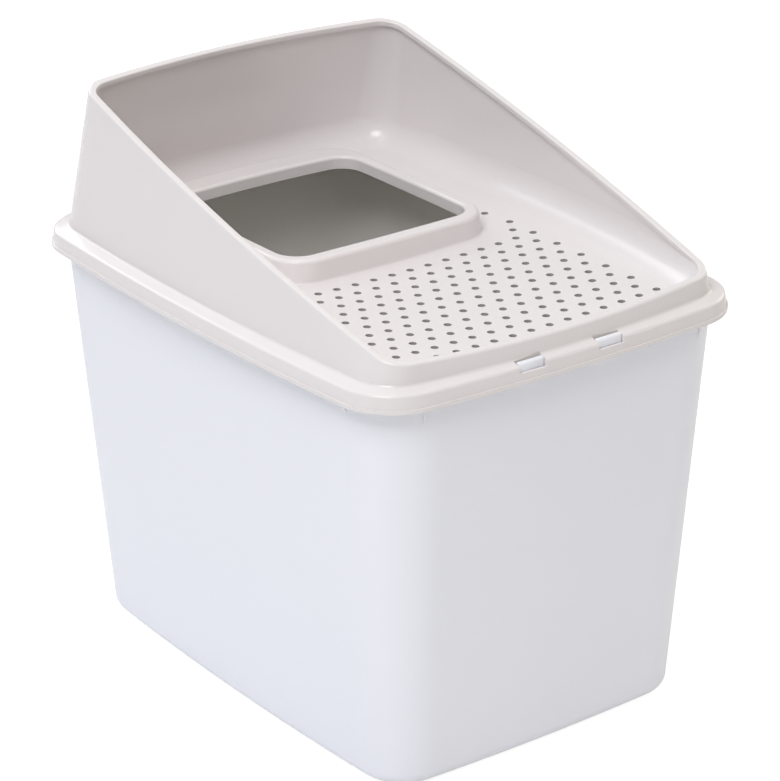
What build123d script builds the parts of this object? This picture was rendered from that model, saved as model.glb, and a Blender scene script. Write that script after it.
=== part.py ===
from build123d import *
import math
import os
from typing import NamedTuple

# A top entry litter box: a deep tub, and a lid with a perforated platform, a raised
# collar round the way in and a sloping hood wall. +Z up, +X to the right, the front
# towards -Y, the origin on the floor under the middle of the lid.

# Lid outline, measured between the chords of its bowed edges
lid_width = 400.0
lid_depth = 536.5
lid_side_bow = 10.9
lid_end_bow = 10.4
lid_corner = 57.7
lid_wall = 2.6

# Tub
tub_height = 382.6
tub_wall = 2.8
tub_base = 3.2
tub_taper = 27.0
mouth_side_bow = 2.5
mouth_end_bow = 4.3
mouth_corner = 60.0
foot_side_bow = 8.1
foot_end_bow = 5.3
foot_corner = 45.0
foot_round = 12.2

# Rim of the tub, under the lid
rim_reach_side = 8.6
rim_reach_end = 5.4
rim_plate = 2.6
rim_lip = 2.2
rim_clearance = 0.5
lip_lift = 2.5

# Ribs under the rim
rib_thickness = 2.0
rib_drop = 19.0
end_rib_place = 149.0
side_rib_place = 210.0
rib_toe = 2.0
rib_corner_turn = 0.5

# Skirt of the lid, from its lower edge up
skirt_drop = 11.0
skirt_height = 15.7
skirt_lean = 1.5
bead_height = 4.0
bead_proud = 1.2
bead_round = 0.9
skirt_top_round = 3.0

# Ledge and hood
ledge_rise = 2.65
ledge_side = 16.3
ledge_end = 17.35
hood_foot_side_bow = 10.9
hood_foot_end_bow = 16.3
hood_front_corner = 36.3
hood_rear_corner = 42.0
hood_foot_round = 2.4

# Sloping rim of the hood
rim_slope = 0.26
rim_middle_height = 101.4
rim_side_lean = 8.9
rim_front_lean = 0.4
rim_rear_lean = 37.0
rim_side_bow = 9.4
rim_front_bow = 14.3
rim_rear_bow = 12.0
rim_corner = 27.0
least_corner = 20.0
rim_width = 6.4
rim_depth = 5.0
rim_outer_round = 2.0
rim_inner_edge_round = 1.2

# Platform
deck_lift = 4.25
deck_thickness = 2.6
deck_slope = 0.012
deck_dish_radius = 2900.0
deck_low_point = 129.9
deck_blend = 23.0

# Holes in the platform
hole_diameter = 6.9
hole_pitch = 20.0
row_pitch = 17.02
first_row_margin = 53.3
hole_wall_margin = 37.7
hole_collar_margin = 21.0
flank_rows = (11, 12)
lone_hole_spacing = 270.4
lone_hole_place = 20.3

# Collar round the way in
entry_width = 202.2
entry_depth = 195.3
entry_rear_margin = 79.4
entry_corner = 23.0
entry_side_bow = 1.3
entry_front_bow = 1.8
entry_rear_bow = 5.0
collar_height = 23.9
collar_lip = 12.2
collar_top_front = 14.5
collar_top_side = 11.3
collar_top_rear = 29.2
collar_flare_front = 0.5
collar_flare_side = 6.0
collar_flare_rear = 5.0
collar_corner = 36.0
collar_outer_round = 4.0
collar_entry_round = 3.0
collar_foot_round = 2.0

# Front latches
latch_spacing = 84.0
latch_offset = -4.4
latch_width = 26.5
latch_thickness = 2.8
latch_height = 13.7
latch_side_gap = 0.6
latch_clearance = 0.4
latch_round = 2.0
window_sill = 10.1
root_depth = 2.2

# Heights above the floor
seat = tub_height
skirt_bottom = seat - skirt_drop
bead_top = skirt_bottom + bead_height
skirt_top = skirt_bottom + skirt_height
ledge_top = skirt_top + ledge_rise
lip_bottom = skirt_bottom + lip_lift
deck_top = seat + deck_lift
collar_top = deck_top + collar_height

# How far a cutting shape runs past the face that it opens, and how finely heights are told
# apart, on level faces and on the dished platform
lap = 0.5
level_tolerance = 0.01
deck_tolerance = 0.65


class Outline(NamedTuple):
    """Four bowed sides with rounded corners, placed by the chords of the sides. With a splay
    the front is wider than half_width on either side, and the rear narrower."""

    half_width: float
    front: float
    rear: float
    side_bow: float
    front_bow: float
    rear_bow: float
    front_corner: float
    rear_corner: float
    splay: float = 0.0


def inset(outline, gap):
    """The same outline, moved inwards by gap all round."""
    return outline._replace(
        half_width=outline.half_width - gap,
        front=outline.front - gap,
        rear=outline.rear - gap,
        front_corner=outline.front_corner - gap,
        rear_corner=outline.rear_corner - gap,
    )


def between(low, high, share):
    """The outline a share of the way from low to high."""
    return Outline(*(a + (b - a) * share for a, b in zip(low, high)))


def level(height):
    """The level plane at a height above the floor."""
    return Plane.XY.offset(height)


def outline_face(outline, plane):
    """A face on a level or sloping plane that shows the outline when seen from above."""
    stretch = 1 / plane.z_dir.Z
    front = -outline.front * stretch
    rear = outline.rear * stretch
    front_tip = front - outline.front_bow * stretch
    rear_tip = rear + outline.rear_bow * stretch
    front_half = outline.half_width + outline.splay
    rear_half = outline.half_width - outline.splay
    side_tip = outline.half_width + outline.side_bow
    middle = (front + rear) / 2
    with BuildSketch(plane) as sketch:
        with BuildLine():
            ThreePointArc((-front_half, front), (0, front_tip), (front_half, front))
            ThreePointArc((front_half, front), (side_tip, middle), (rear_half, rear))
            ThreePointArc((rear_half, rear), (0, rear_tip), (-rear_half, rear))
            ThreePointArc((-rear_half, rear), (-side_tip, middle), (-front_half, front))
        make_face()
        fillet(sketch.vertices().group_by(Axis.Y)[0], outline.front_corner)
        fillet(sketch.vertices().group_by(Axis.Y)[-1], outline.rear_corner)
    return sketch.sketch.face()


def shaft(low, low_height, high, high_height):
    """A straight-sided solid from one outline to another."""
    return loft([outline_face(low, level(low_height)), outline_face(high, level(high_height))], ruled=True)


lid_outline = Outline(
    lid_width / 2, lid_depth / 2, lid_depth / 2,
    lid_side_bow, lid_end_bow, lid_end_bow,
    lid_corner, lid_corner,
)
mouth = Outline(
    lid_width / 2 - rim_reach_side, lid_depth / 2 - rim_reach_end, lid_depth / 2 - rim_reach_end,
    mouth_side_bow, mouth_end_bow, mouth_end_bow,
    mouth_corner, mouth_corner,
)
foot = Outline(
    mouth.half_width - tub_taper, mouth.front - tub_taper, mouth.rear - tub_taper,
    foot_side_bow, foot_end_bow, foot_end_bow,
    foot_corner, foot_corner,
)
hood_foot = Outline(
    lid_width / 2 - ledge_side, lid_depth / 2 - ledge_end, lid_depth / 2 - ledge_end,
    hood_foot_side_bow, hood_foot_end_bow, hood_foot_end_bow,
    hood_front_corner, hood_rear_corner,
)
hood_rim = Outline(
    hood_foot.half_width - rim_side_lean,
    hood_foot.front - rim_front_lean,
    hood_foot.rear - rim_rear_lean,
    rim_side_bow, rim_front_bow, rim_rear_bow,
    rim_corner, rim_corner,
)


def tub_at(height, gap):
    """Outer outline of the tub at a height, moved inwards by gap."""
    return inset(between(foot, mouth, height / tub_height), gap)


def skirt_at(height, gap):
    """Outer outline of the skirt above its bead, moved inwards by gap."""
    lean = skirt_lean * (height - bead_top) / (skirt_top - bead_top)
    return inset(lid_outline, bead_proud + lean + gap)


def edges_at(part, height):
    """Edges that lie level at a height."""
    return part.edges().filter_by_position(Axis.Z, height - level_tolerance, height + level_tolerance)


def sag(bow, half_chord, place):
    """Height of a bowed edge over its chord, at a place along it."""
    radius = (half_chord**2 + bow**2) / (2 * bow)
    return math.sqrt(radius**2 - place**2) - (radius - bow)


# Latches and the windows in the lid that show them

latch_places = {
    "front_latch_left": latch_offset - latch_spacing / 2,
    "front_latch_right": latch_offset + latch_spacing / 2,
}
window_width = latch_width + 2 * latch_side_gap
sill_height = skirt_bottom + window_sill


def latch_face(place):
    """Y of a latch's outer face, clear of the curved skirt over its whole width."""
    skirt = skirt_at(sill_height, lid_wall)
    far_edge = abs(place) + latch_width / 2
    return -skirt.front - sag(skirt.front_bow, skirt.half_width, far_edge) + latch_clearance


# Tub


def tub_hollow():
    """The room inside the tub, with a rounded bottom edge."""
    with BuildPart() as hollow:
        add(shaft(tub_at(tub_base, tub_wall), tub_base, tub_at(tub_height, tub_wall), tub_height))
        fillet(edges_at(hollow, tub_base), foot_round - tub_wall)
    return hollow.part


def rib_profile(deep, wall, lip):
    """Side view of a rib, from inside the tub's wall out into the lip."""
    low = lip_bottom - rib_drop
    high = seat - rim_plate / 2
    return Polygon((deep, low), (wall, low), (lip, lip_bottom), (lip, high), (deep, high), align=None)


def ribs():
    """Eight ribs between the tub's wall and the lip of its rim, two by each corner."""
    edge = skirt_at(seat, lid_wall + rim_clearance + rim_lip / 2)
    end_lip = edge.rear + sag(edge.rear_bow, edge.half_width, end_rib_place) - rib_corner_turn
    side_lip = edge.half_width + sag(edge.side_bow, edge.rear, side_rib_place) - rib_corner_turn
    with BuildPart() as group:
        with BuildSketch(Plane.YZ.offset(end_rib_place - rib_thickness / 2)):
            rib_profile(mouth.rear - mouth_corner, mouth.rear - rib_toe, end_lip)
        extrude(amount=rib_thickness)
        with BuildSketch(Plane.XZ.offset(-side_rib_place - rib_thickness / 2)):
            rib_profile(mouth.half_width - mouth_corner, mouth.half_width - rib_toe, side_lip)
        extrude(amount=rib_thickness)
        mirror(about=Plane.XZ)
        mirror(about=Plane.YZ)
    return group.part


def rim():
    """Flat rim with a lip turned down, cut away for the latches, and the latches' roots."""
    edge = skirt_at(seat, lid_wall + rim_clearance)
    notch_reach = rim_reach_end + lid_end_bow
    with BuildPart() as ring:
        extrude(outline_face(edge, level(lip_bottom)), amount=seat - lip_bottom, dir=(0, 0, 1))
        extrude(
            outline_face(inset(edge, rim_lip), level(lip_bottom)),
            amount=seat - rim_plate - lip_bottom,
            dir=(0, 0, 1),
            mode=Mode.SUBTRACT,
        )
        for place in latch_places.values():
            with BuildSketch(Plane.XY.offset(lip_bottom)):
                with Locations((place, -lid_depth / 2)):
                    Rectangle(window_width, 2 * notch_reach)
            extrude(amount=seat - lip_bottom, mode=Mode.SUBTRACT)
        for place in latch_places.values():
            with BuildSketch(Plane.XY.offset(lip_bottom)):
                with Locations((place, latch_face(place))):
                    Rectangle(latch_width, mouth_corner, align=(Align.CENTER, Align.MIN))
            extrude(amount=-root_depth)
    return ring.part


with BuildPart() as tub:
    add(shaft(tub_at(0, 0), 0, tub_at(tub_height, 0), tub_height))
    fillet(edges_at(tub, 0), foot_round)
    add(rim())
    add(ribs())
    add(tub_hollow(), mode=Mode.SUBTRACT)
tub.part.label = "tub"

# Lid

low_level = seat - lid_wall


def rim_level(drop):
    """The sloping plane of the hood's rim, lowered by drop."""
    middle = skirt_bottom + rim_middle_height - drop
    return Plane(origin=(0, 0, middle), x_dir=(1, 0, 0), z_dir=(0, -rim_slope, 1))


def height_on(plane, y):
    """Height of a level or sloping plane at a place along the box."""
    return plane.origin.Z - y * plane.z_dir.Y / plane.z_dir.Z


def hood_on(plane, gap):
    """Outer outline of the hood's walls on a plane, moved inwards by gap. Past the foot and the
    rim the walls carry on straight, but no corner gets tighter than least_corner."""

    def reached(y):
        way = height_on(rim_level(0), y) - ledge_top
        return between(hood_foot, hood_rim, (height_on(plane, y) - ledge_top) / way)

    front = reached(-hood_rim.front)
    middle = reached(0)
    rear = reached(hood_rim.rear)
    half_width = (front.half_width + rear.half_width) / 2
    outline = Outline(
        half_width, front.front, rear.rear,
        middle.half_width + middle.side_bow - half_width, front.front_bow, rear.rear_bow,
        max(front.front_corner, least_corner), max(rear.rear_corner, least_corner),
        (front.half_width - rear.half_width) / 2,
    )
    return inset(outline, gap)


def hood_shaft(low, high, gap):
    """The hood's outer shape between two planes, moved inwards by gap."""
    return loft([outline_face(hood_on(low, gap), low), outline_face(hood_on(high, gap), high)], ruled=True)


def above_deck(drop):
    """The room over the dished platform, whose lowest line runs to the rear, lowered by drop."""
    half = lid_width / 2
    edge = deck_dish_radius - math.sqrt(deck_dish_radius**2 - half**2)
    middle = deck_top + deck_slope * deck_low_point - drop
    with BuildPart() as room:
        with BuildSketch(Plane(origin=(0, 0, middle), x_dir=(1, 0, 0), z_dir=(0, -1, -deck_slope))):
            with BuildLine():
                ThreePointArc((-half, edge), (0, 0), (half, edge))
                Polyline((half, edge), (half, lid_depth), (-half, lid_depth), (-half, edge))
            make_face()
        extrude(amount=lid_depth, both=True)
    return room.part


def hood_room(gap, drop, blend):
    """The room inside the hood and over the platform, with a blended bottom edge."""
    with BuildPart() as room:
        add(hood_shaft(level(low_level), rim_level(-deck_blend), gap))
        add(above_deck(drop), mode=Mode.INTERSECT)
        fillet(room.faces().sort_by(Axis.Z)[0].edges(), blend)
    return room.part


def under_deck():
    """The hollow under the platform, which leaves platform, blend and wall of even thickness."""
    with BuildPart() as hollow:
        add(hood_shaft(level(low_level), rim_level(-deck_blend), lid_wall))
        add(hood_room(0, deck_thickness, deck_blend + lid_wall), mode=Mode.SUBTRACT)
    return hollow.part


entry_rear = lid_depth / 2 - entry_rear_margin
entry_front = entry_rear - entry_depth
entry_outline = Outline(
    entry_width / 2, -entry_front, entry_rear,
    entry_side_bow, entry_front_bow, entry_rear_bow,
    entry_corner, entry_corner,
)
collar_crest = Outline(
    entry_width / 2 + collar_top_side, collar_top_front - entry_front, entry_rear + collar_top_rear,
    entry_side_bow, entry_front_bow, entry_rear_bow,
    collar_corner, collar_corner,
)
collar_foot = Outline(
    collar_crest.half_width + collar_flare_side,
    collar_crest.front + collar_flare_front,
    collar_crest.rear + collar_flare_rear,
    entry_side_bow, entry_front_bow, entry_rear_bow,
    collar_corner, collar_corner,
)


def collar_at(height, gap):
    """Outer outline of the collar at a height, moved inwards by gap."""
    return inset(between(collar_foot, collar_crest, (height - deck_top) / collar_height), gap)


def collar_block():
    """The collar before it is hollowed, down to the platform's underside."""
    with BuildPart() as block:
        add(shaft(collar_at(low_level, 0), low_level, collar_at(collar_top, 0), collar_top))
        add(above_deck(deck_thickness), mode=Mode.INTERSECT)
    return block.part


def collar_hollow():
    """The hollow under the collar's top, behind the lip turned down round the way in."""
    ceiling = collar_top - lid_wall
    lip_outline = inset(entry_outline, -lid_wall)
    with BuildPart() as hollow:
        add(shaft(collar_at(low_level, lid_wall), low_level, collar_at(ceiling, lid_wall), ceiling))
        add(
            shaft(lip_outline, collar_top - collar_lip, lip_outline, ceiling),
            mode=Mode.SUBTRACT,
        )
    return hollow.part


def rim_top(part):
    """The flat face on top of the hood's rim."""
    plane = rim_level(0)
    return part.faces().filter_by(
        lambda face: abs(plane.to_local_coords(face.center()).Z) < level_tolerance
    )[0]


def rim_band():
    """The thick band along the hood's upper edge, grown inwards from the middle of its wall."""
    with BuildPart() as band:
        add(hood_shaft(level(ledge_top), rim_level(0), lid_wall / 2))
        add(hood_shaft(level(ledge_top), rim_level(0), rim_width), mode=Mode.SUBTRACT)
        split(bisect_by=rim_level(rim_depth), keep=Keep.TOP)
        fillet(rim_top(band).inner_wires()[0].edges(), rim_inner_edge_round)
    return band.part


def deck_height(x, y):
    """Height of the platform's upper face."""
    return deck_top + deck_slope * (y + deck_low_point) + x**2 / (2 * deck_dish_radius)


def collar_foot_edges(part):
    """The edges where the collar's outer wall meets the platform's upper face."""
    reach = inset(collar_foot, -collar_foot_round)
    near = []
    for edge in part.edges():
        spot = edge @ 0.5
        inside = abs(spot.X) < reach.half_width and -reach.front < spot.Y < reach.rear
        if inside and abs(spot.Z - deck_height(spot.X, spot.Y)) < deck_tolerance:
            near.append(edge)
    return near


def collar_crown(part):
    """The flat face on top of the collar."""
    low = collar_top - level_tolerance
    return part.faces().filter_by_position(Axis.Z, low, collar_top + level_tolerance)[0]


def hole_rows():
    """Staggered rows of holes up to the collar, then the ends of a few rows beside it and a
    lone hole on either side."""
    reach = hood_foot.half_width - hole_wall_margin
    first = first_row_margin - lid_depth / 2
    last = -collar_foot.front - hole_collar_margin
    full_rows = int((last - first) // row_pitch) + 1
    rows = []
    for number in [*range(full_rows), *flank_rows]:
        shift = hole_pitch / 2 * (number % 2)
        steps = range(int((reach - shift) // hole_pitch) + 1)
        if number >= full_rows:
            steps = steps[-1:]
        across = {side * (shift + step * hole_pitch) for step in steps for side in (-1, 1)}
        rows.append([(x, first + number * row_pitch) for x in sorted(across)])
    rows.append([(side * lone_hole_spacing / 2, lone_hole_place) for side in (-1, 1)])
    return rows


def latch_window(place):
    """The opening in the ledge and the upper skirt that shows a latch."""
    step = hood_foot.front + sag(hood_foot.front_bow, hood_foot.half_width, abs(place))
    with BuildPart() as window:
        with BuildSketch(Plane.XY.offset(sill_height)):
            with Locations((place, -step)):
                Rectangle(window_width, ledge_end + lid_end_bow, align=(Align.CENTER, Align.MAX))
        extrude(amount=ledge_top + hood_foot_round - sill_height)
    return window.part


with BuildPart() as lid:
    add(shaft(lid_outline, skirt_bottom, lid_outline, bead_top))
    add(shaft(skirt_at(bead_top, 0), bead_top, skirt_at(skirt_top, 0), skirt_top))
    add(shaft(skirt_at(skirt_top, 0), skirt_top, hood_foot, ledge_top))
    add(hood_shaft(level(ledge_top), rim_level(0), 0))
    fillet(edges_at(lid, ledge_top), hood_foot_round)
    fillet(edges_at(lid, skirt_top), skirt_top_round)
    fillet(edges_at(lid, skirt_bottom), bead_round)
    add(
        shaft(skirt_at(skirt_bottom, lid_wall), skirt_bottom, skirt_at(seat, lid_wall), seat),
        mode=Mode.SUBTRACT,
    )
    add(under_deck(), mode=Mode.SUBTRACT)
    add(hood_room(lid_wall, 0, deck_blend), mode=Mode.SUBTRACT)
    add(rim_band())
    fillet(rim_top(lid).outer_wire().edges(), rim_outer_round)
    add(collar_block())
    fillet(collar_foot_edges(lid), collar_foot_round)
    add(collar_hollow(), mode=Mode.SUBTRACT)
    add(shaft(entry_outline, low_level, entry_outline, collar_top + lap), mode=Mode.SUBTRACT)
    fillet(collar_crown(lid).outer_wire().edges(), collar_outer_round)
    fillet(collar_crown(lid).inner_wires()[0].edges(), collar_entry_round)
    for row in hole_rows():
        with BuildSketch(Plane.XY.offset(seat - deck_thickness)):
            with Locations(*row):
                Circle(hole_diameter / 2)
        extrude(amount=deck_lift + deck_blend / 2, mode=Mode.SUBTRACT)
    for place in latch_places.values():
        add(latch_window(place), mode=Mode.SUBTRACT)
lid.part.label = "lid"


# Latches


def latch(place):
    """A tongue that stands on its root behind the skirt, its upper front edge rounded."""
    with BuildPart() as tongue:
        with BuildSketch(Plane.YZ.offset(place - latch_width / 2)) as side_view:
            with Locations((latch_face(place), lip_bottom)):
                Rectangle(latch_thickness, latch_height, align=(Align.MIN, Align.MIN))
            upper = side_view.vertices().group_by(Axis.Y)[-1].sort_by(Axis.X)
            fillet(upper[0], latch_round)
        extrude(amount=latch_width)
    return tongue.part


with BuildPart() as front_latch_left:
    add(latch(latch_places["front_latch_left"]))
front_latch_left.part.label = "front_latch_left"

with BuildPart() as front_latch_right:
    add(latch(latch_places["front_latch_right"]))
front_latch_right.part.label = "front_latch_right"


os.makedirs("parts", exist_ok=True)
export_step(tub.part, "parts/tub.step")
export_step(lid.part, "parts/lid.step")
export_step(front_latch_left.part, "parts/front_latch_left.step")
export_step(front_latch_right.part, "parts/front_latch_right.step")
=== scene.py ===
"""Top entry litter box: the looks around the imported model. Metres, +Z up, the front towards -Y."""

import math

import bmesh
import bpy
from mathutils import Matrix, Vector


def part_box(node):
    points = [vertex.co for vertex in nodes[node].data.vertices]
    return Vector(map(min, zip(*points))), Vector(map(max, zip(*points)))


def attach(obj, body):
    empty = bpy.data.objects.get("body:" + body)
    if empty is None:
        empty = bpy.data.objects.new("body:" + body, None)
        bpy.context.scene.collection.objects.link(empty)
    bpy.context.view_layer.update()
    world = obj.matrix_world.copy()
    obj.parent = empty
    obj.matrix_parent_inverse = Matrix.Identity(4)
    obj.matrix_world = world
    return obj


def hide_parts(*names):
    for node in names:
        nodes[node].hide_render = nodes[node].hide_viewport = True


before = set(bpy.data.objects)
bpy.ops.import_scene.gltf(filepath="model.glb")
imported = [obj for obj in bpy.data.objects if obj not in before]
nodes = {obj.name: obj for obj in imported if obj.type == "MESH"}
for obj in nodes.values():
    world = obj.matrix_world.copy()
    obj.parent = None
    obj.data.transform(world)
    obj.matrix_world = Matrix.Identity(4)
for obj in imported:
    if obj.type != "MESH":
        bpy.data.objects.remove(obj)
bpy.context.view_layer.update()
scene = bpy.context.scene

# ---------------------------------------------------------------- camera

IMAGE_WIDTH, IMAGE_HEIGHT = 780, 781
SENSOR = 36.0
FOCAL_PIXELS = 3166.04
CENTRE_PIXEL = (381.259, 384.522)
AZIMUTH, ELEVATION, ROLL = (math.radians(a) for a in (36.324, 23.373, -0.523))
DISTANCE = 2.8865
TARGET = Vector((0.0, 0.0, 0.2622))
CLIP_NEAR, CLIP_FAR = 0.05, 60.0


def make_camera():
    """The camera at the photograph's viewing angle."""
    data = bpy.data.cameras.new("camera")
    data.sensor_fit = "HORIZONTAL"
    data.sensor_width = SENSOR
    data.lens = FOCAL_PIXELS * SENSOR / IMAGE_WIDTH
    data.shift_x = (IMAGE_WIDTH / 2 - CENTRE_PIXEL[0]) / IMAGE_WIDTH
    data.shift_y = (CENTRE_PIXEL[1] - IMAGE_HEIGHT / 2) / IMAGE_WIDTH
    data.clip_start, data.clip_end = CLIP_NEAR, CLIP_FAR
    back = Vector((
        -math.sin(AZIMUTH) * math.cos(ELEVATION),
        -math.cos(AZIMUTH) * math.cos(ELEVATION),
        math.sin(ELEVATION),
    ))
    right = (-back).cross(Vector((0, 0, 1))).normalized()
    up = right.cross(-back)
    c, s = math.cos(ROLL), math.sin(ROLL)
    right, up = c * right + s * up, c * up - s * right
    camera = bpy.data.objects.new("camera", data)
    turn = Matrix((right, up, back)).transposed().to_4x4()
    camera.matrix_world = Matrix.Translation(TARGET + DISTANCE * back) @ turn
    scene.collection.objects.link(camera)
    scene.camera = camera


make_camera()

# ---------------------------------------------------------------- materials


class Graph:
    """The node tree of a material or a world, with the wiring kept short."""

    def __init__(self, owner):
        self.owner = owner
        owner.use_nodes = True
        self.tree = owner.node_tree
        self.tree.nodes.clear()

    def node(self, kind, values=None, **settings):
        """A node with its settings, and its inputs as constants or as links from other nodes."""
        made = self.tree.nodes.new(kind)
        for key, value in settings.items():
            setattr(made, key, value)
        for key, value in (values or {}).items():
            if isinstance(value, bpy.types.NodeSocket):
                self.tree.links.new(value, made.inputs[key])
            else:
                made.inputs[key].default_value = value
        return made

    def noise(self, where, scale, detail, roughness=0.5):
        """Noise from 0 to 1, with scale in features per metre."""
        return self.node("ShaderNodeTexNoise", {
            "Vector": where, "Scale": scale, "Detail": detail, "Roughness": roughness,
        }).outputs["Fac"]

    def math(self, operation, first, second=0.0):
        """The result of a sum, a product or a test on two numbers."""
        return self.node("ShaderNodeMath", {0: first, 1: second}, operation=operation).outputs[0]

    def vector_math(self, operation, output, first, second):
        """The named output of a sum or a product on two vectors."""
        return self.node(
            "ShaderNodeVectorMath", {0: first, 1: second}, operation=operation
        ).outputs[output]

    def spread(self, value, low, high, start=0.0, end=1.0):
        """A value from start to end, spread over the range from low to high."""
        return self.node("ShaderNodeMapRange", {
            0: value, 1: start, 2: end, 3: low, 4: high,
        }).outputs[0]

    def blend(self, share, first, second):
        """A colour between two others. Its inputs 6 and 7 and its output 2 are the colours."""
        return self.node(
            "ShaderNodeMix", {0: share, 6: first, 7: second}, data_type="RGBA"
        ).outputs[2]

    def to_camera(self, lit, seen):
        """One shader for the light that falls on the part, and another for what the camera sees."""
        camera_ray = self.node("ShaderNodeLightPath").outputs["Is Camera Ray"]
        return self.node("ShaderNodeMixShader", {0: camera_ray, 1: lit, 2: seen}).outputs[0]

    def finish(self, kind, surface):
        """Sends a shader to the output of that kind, and returns what the tree belongs to."""
        self.node(kind, {"Surface": surface})
        return self.owner


def material_graph(name):
    """A new material's empty node tree."""
    return Graph(bpy.data.materials.new(name))


# Noise scales are in features per metre. Each is a scale and a detail.
PEEL, GRAIN, WEAR, DRIFT = (90.0, 1.0), (700.0, 1.0), (14.0, 3.0), (6.0, 4.0)
PEEL_SHARE, GRAIN_SHARE = 0.8, 0.2
BUMP_STRENGTH, BUMP_DEPTH = 0.1, 0.00004
POLISH_BELOW, POLISH_ABOVE = 0.03, 0.04
PLASTIC_IOR = 1.49

# The renderer's denoiser treats surfaces differently above and below a roughness of about 0.274,
# and draws hard patches where a surface crosses it. So each plastic stays on one side of it.
TUB_ROUGHNESS, LID_ROUGHNESS = 0.34, 0.2

# Each colour drifts between two close tones.
TUB_OUTSIDE = (0.876, 0.888, 0.95, 1), (0.868, 0.88, 0.944, 1)
# The inside's warmer tone is painted warm bounce light. The tub is the same plastic inside and out.
TUB_INSIDE_PAINTED_GLOW = (0.95, 0.93, 0.895, 1), (0.945, 0.924, 0.888, 1)
LID_COLOUR = (0.788, 0.752, 0.754, 1), (0.778, 0.741, 0.743, 1)
# Painted shade for the walls of the platform's holes.
HOLE_WALL_PAINTED_SHADE = (0.44, 0.422, 0.415, 1)

# The tub's outer walls are those where the dot product of normal and place without its Z passes
# this, in metres. The other faces take the painted warm light of the inside. The flat base doesn't
# pass it, so its underside has that painted tint too.
OUTWARD_LEAST = 0.002

# The field that the platform's holes fill, and the collar behind it, in the part's own frame. The
# hole walls in it get painted shade.
FIELD_HALF, FIELD_FRONT, FIELD_REAR = 0.16, -0.235, 0.035
FIELD_BOTTOM, FIELD_TOP = 0.383, 0.3932
COLLAR_HALF, COLLAR_FRONT = 0.126, -0.04

# A face is steep where its normal rises or falls by less than this.
STEEP = 0.5


def plastic(graph, where, colour, roughness):
    """Smooth moulded plastic: a faint satin grain and orange peel, and slow drift in its polish."""
    peel = graph.noise(where, *PEEL)
    grain = graph.noise(where, *GRAIN)
    wear = graph.noise(where, *WEAR)
    relief = graph.math(
        "ADD", graph.spread(peel, 0.0, PEEL_SHARE), graph.spread(grain, 0.0, GRAIN_SHARE)
    )
    bump = graph.node("ShaderNodeBump", {
        "Strength": BUMP_STRENGTH, "Distance": BUMP_DEPTH, "Height": relief,
    }).outputs[0]
    shader = graph.node("ShaderNodeBsdfPrincipled", {
        "Base Color": colour,
        "Roughness": graph.spread(wear, roughness - POLISH_BELOW, roughness + POLISH_ABOVE),
        "Normal": bump,
        "IOR": PLASTIC_IOR,
    }).outputs[0]
    return graph.finish("ShaderNodeOutputMaterial", shader)


def tub_plastic():
    """Cool white plastic, with painted warm light on the inside of the tub, the same plastic as the
    outside.
    """
    graph = material_graph("tub_plastic")
    where = graph.node("ShaderNodeTexCoord").outputs["Object"]
    drift = graph.noise(where, *DRIFT)
    outer = graph.blend(drift, *TUB_OUTSIDE)
    inside_painted_glow = graph.blend(drift, *TUB_INSIDE_PAINTED_GLOW)
    flat = graph.vector_math("MULTIPLY", "Vector", where, (1.0, 1.0, 0.0))
    facing = graph.node("ShaderNodeNewGeometry").outputs["Normal"]
    outward = graph.vector_math("DOT_PRODUCT", "Value", flat, facing)
    # Painted warm light on every face that doesn't face outward.
    colour = graph.blend(graph.math("GREATER_THAN", outward, OUTWARD_LEAST), inside_painted_glow, outer)
    return plastic(graph, where, colour, TUB_ROUGHNESS)


def lid_plastic():
    """Warm off-white plastic. The walls of the platform's holes carry painted shade, darker to look
    as they do in the photograph. They are the steep faces in the field of holes that are clear of
    the collar."""
    graph = material_graph("lid_plastic")
    where = graph.node("ShaderNodeTexCoord").outputs["Object"]
    drift = graph.noise(where, *DRIFT)
    lid_tone = graph.blend(drift, *LID_COLOUR)
    place = graph.node("ShaderNodeSeparateXYZ", {0: where}).outputs
    facing = graph.node("ShaderNodeNewGeometry").outputs["True Normal"]
    upward = graph.node("ShaderNodeSeparateXYZ", {0: facing}).outputs[2]
    sideways = graph.math("ABSOLUTE", place[0])
    clear_of_collar = graph.math(
        "MAXIMUM",
        graph.math("GREATER_THAN", sideways, COLLAR_HALF),
        graph.math("LESS_THAN", place[1], COLLAR_FRONT),
    )
    hole_shade = graph.math("LESS_THAN", graph.math("ABSOLUTE", upward), STEEP)
    for test in (
        clear_of_collar,
        graph.math("LESS_THAN", sideways, FIELD_HALF),
        graph.math("GREATER_THAN", place[1], FIELD_FRONT),
        graph.math("LESS_THAN", place[1], FIELD_REAR),
        graph.math("LESS_THAN", place[2], FIELD_TOP),
        graph.math("GREATER_THAN", place[2], FIELD_BOTTOM),
    ):
        hole_shade = graph.math("MULTIPLY", hole_shade, test)
    # Painted shade: the hole walls take the darker tone.
    colour = graph.blend(hole_shade, lid_tone, HOLE_WALL_PAINTED_SHADE)
    return plastic(graph, where, colour, LID_ROUGHNESS)


tub_material, lid_material = tub_plastic(), lid_plastic()
for name, material in (("tub", tub_material), ("lid", lid_material)):
    for slot in nodes[name].material_slots:
        slot.material = material

# ---------------------------------------------------------------- latches

LATCH_HEIGHT = 0.0157
TONGUE, HEAD = 0.0028, 0.0040
HEAD_BOTTOM, HEAD_SLOPE = 0.0086, 0.0018
FRONT_ROUND, BACK_ROUND, EDGE_ROUND = 0.0030, 0.0008, 0.0006
FRONT_STEPS, BACK_STEPS, EDGE_STEPS = 10, 5, 3
SMOOTH_BELOW = math.radians(40)
SAME_PLACE = 1e-6


def arc(centre, radius, start, end, steps):
    """Points along an arc, its angles in degrees."""
    angles = [math.radians(start + (end - start) * step / steps) for step in range(steps + 1)]
    return [
        (centre[0] + radius * math.cos(angle), centre[1] + radius * math.sin(angle))
        for angle in angles
    ]


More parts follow.
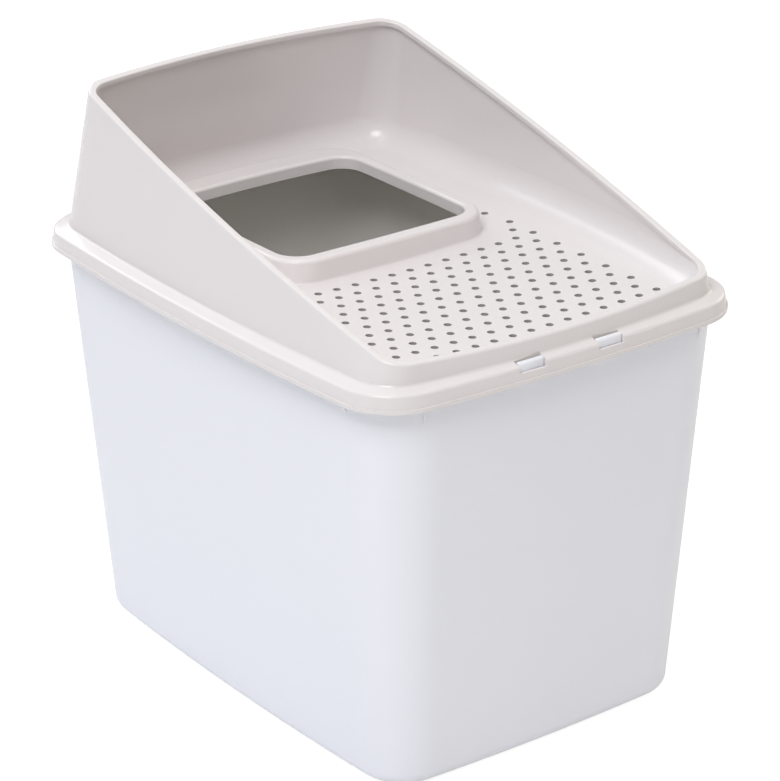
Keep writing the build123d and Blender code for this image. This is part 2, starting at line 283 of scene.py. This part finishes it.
def latch_profile():
    """Side view of a latch, from its outer face inwards and from its root up: a tongue with a
    deeper head, whose front is well rounded."""
    return [
        (0.0, 0.0),
        *arc((FRONT_ROUND, LATCH_HEIGHT - FRONT_ROUND), FRONT_ROUND, 180, 90, FRONT_STEPS),
        *arc((HEAD - BACK_ROUND, LATCH_HEIGHT - BACK_ROUND), BACK_ROUND, 90, 0, BACK_STEPS),
        (HEAD, HEAD_BOTTOM + HEAD_SLOPE),
        (TONGUE, HEAD_BOTTOM),
        (TONGUE, 0.0),
    ]


def make_latch(node):
    """The latch that stands for a node, on the same root and with the same outer face."""
    low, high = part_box(node)
    mesh = bpy.data.meshes.new(node + "_moulded")
    shape = bmesh.new()
    side = [shape.verts.new((low[0], low[1] + y, low[2] + z)) for y, z in latch_profile()]
    face = shape.faces.new(side)
    swept = bmesh.ops.extrude_face_region(shape, geom=[face])["geom"]
    bmesh.ops.translate(
        shape,
        verts=[part for part in swept if isinstance(part, bmesh.types.BMVert)],
        vec=(high[0] - low[0], 0, 0),
    )
    bmesh.ops.recalc_face_normals(shape, faces=shape.faces)
    ends = [
        edge for edge in shape.edges
        if abs(edge.verts[0].co.x - edge.verts[1].co.x) < SAME_PLACE
    ]
    above_root = [
        edge for edge in ends
        if max(vert.co.z for vert in edge.verts) > low[2] + EDGE_ROUND
    ]
    bmesh.ops.bevel(
        shape, geom=above_root, offset=EDGE_ROUND, segments=EDGE_STEPS, profile=0.5,
        affect="EDGES", clamp_overlap=True,
    )
    shape.to_mesh(mesh)
    shape.free()
    mesh.shade_smooth()
    mesh.set_sharp_from_angle(angle=SMOOTH_BELOW)
    mesh.materials.append(tub_material)
    latch = bpy.data.objects.new(node + "_moulded", mesh)
    scene.collection.objects.link(latch)
    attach(latch, node)
    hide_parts(node)


for node in ("front_latch_left", "front_latch_right"):
    make_latch(node)

# ---------------------------------------------------------------- floor and light

FLOOR = -0.0003        # just under the tub, so the two faces don't coincide
FLOOR_HALF = 8.0
FLOOR_LIT, FLOOR_SEEN = (0.9, 0.9, 0.9, 1), (0.35, 0.35, 0.35, 1)
FLOOR_GLOW = 0.84

WORLD_STRENGTH, WORLD_SEEN = 0.43, 1.0
COOL, WARM = (0.94, 0.98, 1.04, 1), (1.07, 1.0, 0.89, 1)
TOWARDS_WARM, TINT_REACH = (0.5, -0.5, 0.0), 0.7
WHITE = (1, 1, 1, 1)


def make_floor():
    """A pale floor that shows white, with the box's soft shadow on it."""
    corners = ((-1, -1), (1, -1), (1, 1), (-1, 1))
    mesh = bpy.data.meshes.new("floor")
    mesh.from_pydata(
        [(x * FLOOR_HALF, y * FLOOR_HALF, FLOOR) for x, y in corners], [], [(0, 1, 2, 3)]
    )
    floor = bpy.data.objects.new("floor", mesh)
    scene.collection.objects.link(floor)
    graph = material_graph("floor")
    lit = graph.node("ShaderNodeBsdfDiffuse", {"Color": FLOOR_LIT}).outputs[0]
    faint = graph.node("ShaderNodeBsdfDiffuse", {"Color": FLOOR_SEEN}).outputs[0]
    glow = graph.node("ShaderNodeEmission", {"Strength": FLOOR_GLOW}).outputs[0]
    seen = graph.node("ShaderNodeAddShader", {0: glow, 1: faint}).outputs[0]
    mesh.materials.append(
        graph.finish("ShaderNodeOutputMaterial", graph.to_camera(lit, seen))
    )


def make_world():
    """A studio surround, cooler at the back left and warmer at the front right, that the camera
    sees as white."""
    scene.world = bpy.data.worlds.new("studio")
    graph = Graph(scene.world)
    where = graph.node("ShaderNodeTexCoord").outputs["Generated"]
    across = graph.vector_math("DOT_PRODUCT", "Value", where, TOWARDS_WARM)
    share = graph.spread(across, 0.0, 1.0, -TINT_REACH, TINT_REACH)
    tint = graph.blend(share, COOL, WARM)
    dim = graph.node("ShaderNodeBackground", {"Strength": WORLD_STRENGTH, "Color": tint}).outputs[0]
    white = graph.node("ShaderNodeBackground", {"Strength": WORLD_SEEN, "Color": WHITE}).outputs[0]
    graph.finish("ShaderNodeOutputWorld", graph.to_camera(dim, white))


def softbox(name, place, aim, size, power, colour):
    """A square studio lamp, aimed at the height aim on the axis of the box."""
    data = bpy.data.lights.new(name, "AREA")
    data.shape = "SQUARE"
    data.size = size
    data.energy = power
    data.color = colour
    lamp = bpy.data.objects.new(name, data)
    lamp.location = place
    beam = Vector((0, 0, aim)) - Vector(place)
    lamp.rotation_euler = beam.to_track_quat("-Z", "Y").to_euler()
    scene.collection.objects.link(lamp)


make_floor()
make_world()
softbox("key", place=(-1.64, -1.07, 2.75), aim=0.3, size=1.4, power=47, colour=(0.985, 0.995, 1.02))
softbox("top", place=(0.0, 0.3, 3.0), aim=0.4, size=2.0, power=15, colour=(1.0, 1.0, 1.0))
softbox("right", place=(2.8, 0.2, 1.4), aim=0.3, size=1.8, power=18, colour=(1.0, 0.95, 0.86))
softbox("back", place=(0.0, 2.8, 1.8), aim=0.3, size=1.8, power=30, colour=(0.96, 0.98, 1.0))

# ---------------------------------------------------------------- view

scene.view_settings.view_transform = "Standard"
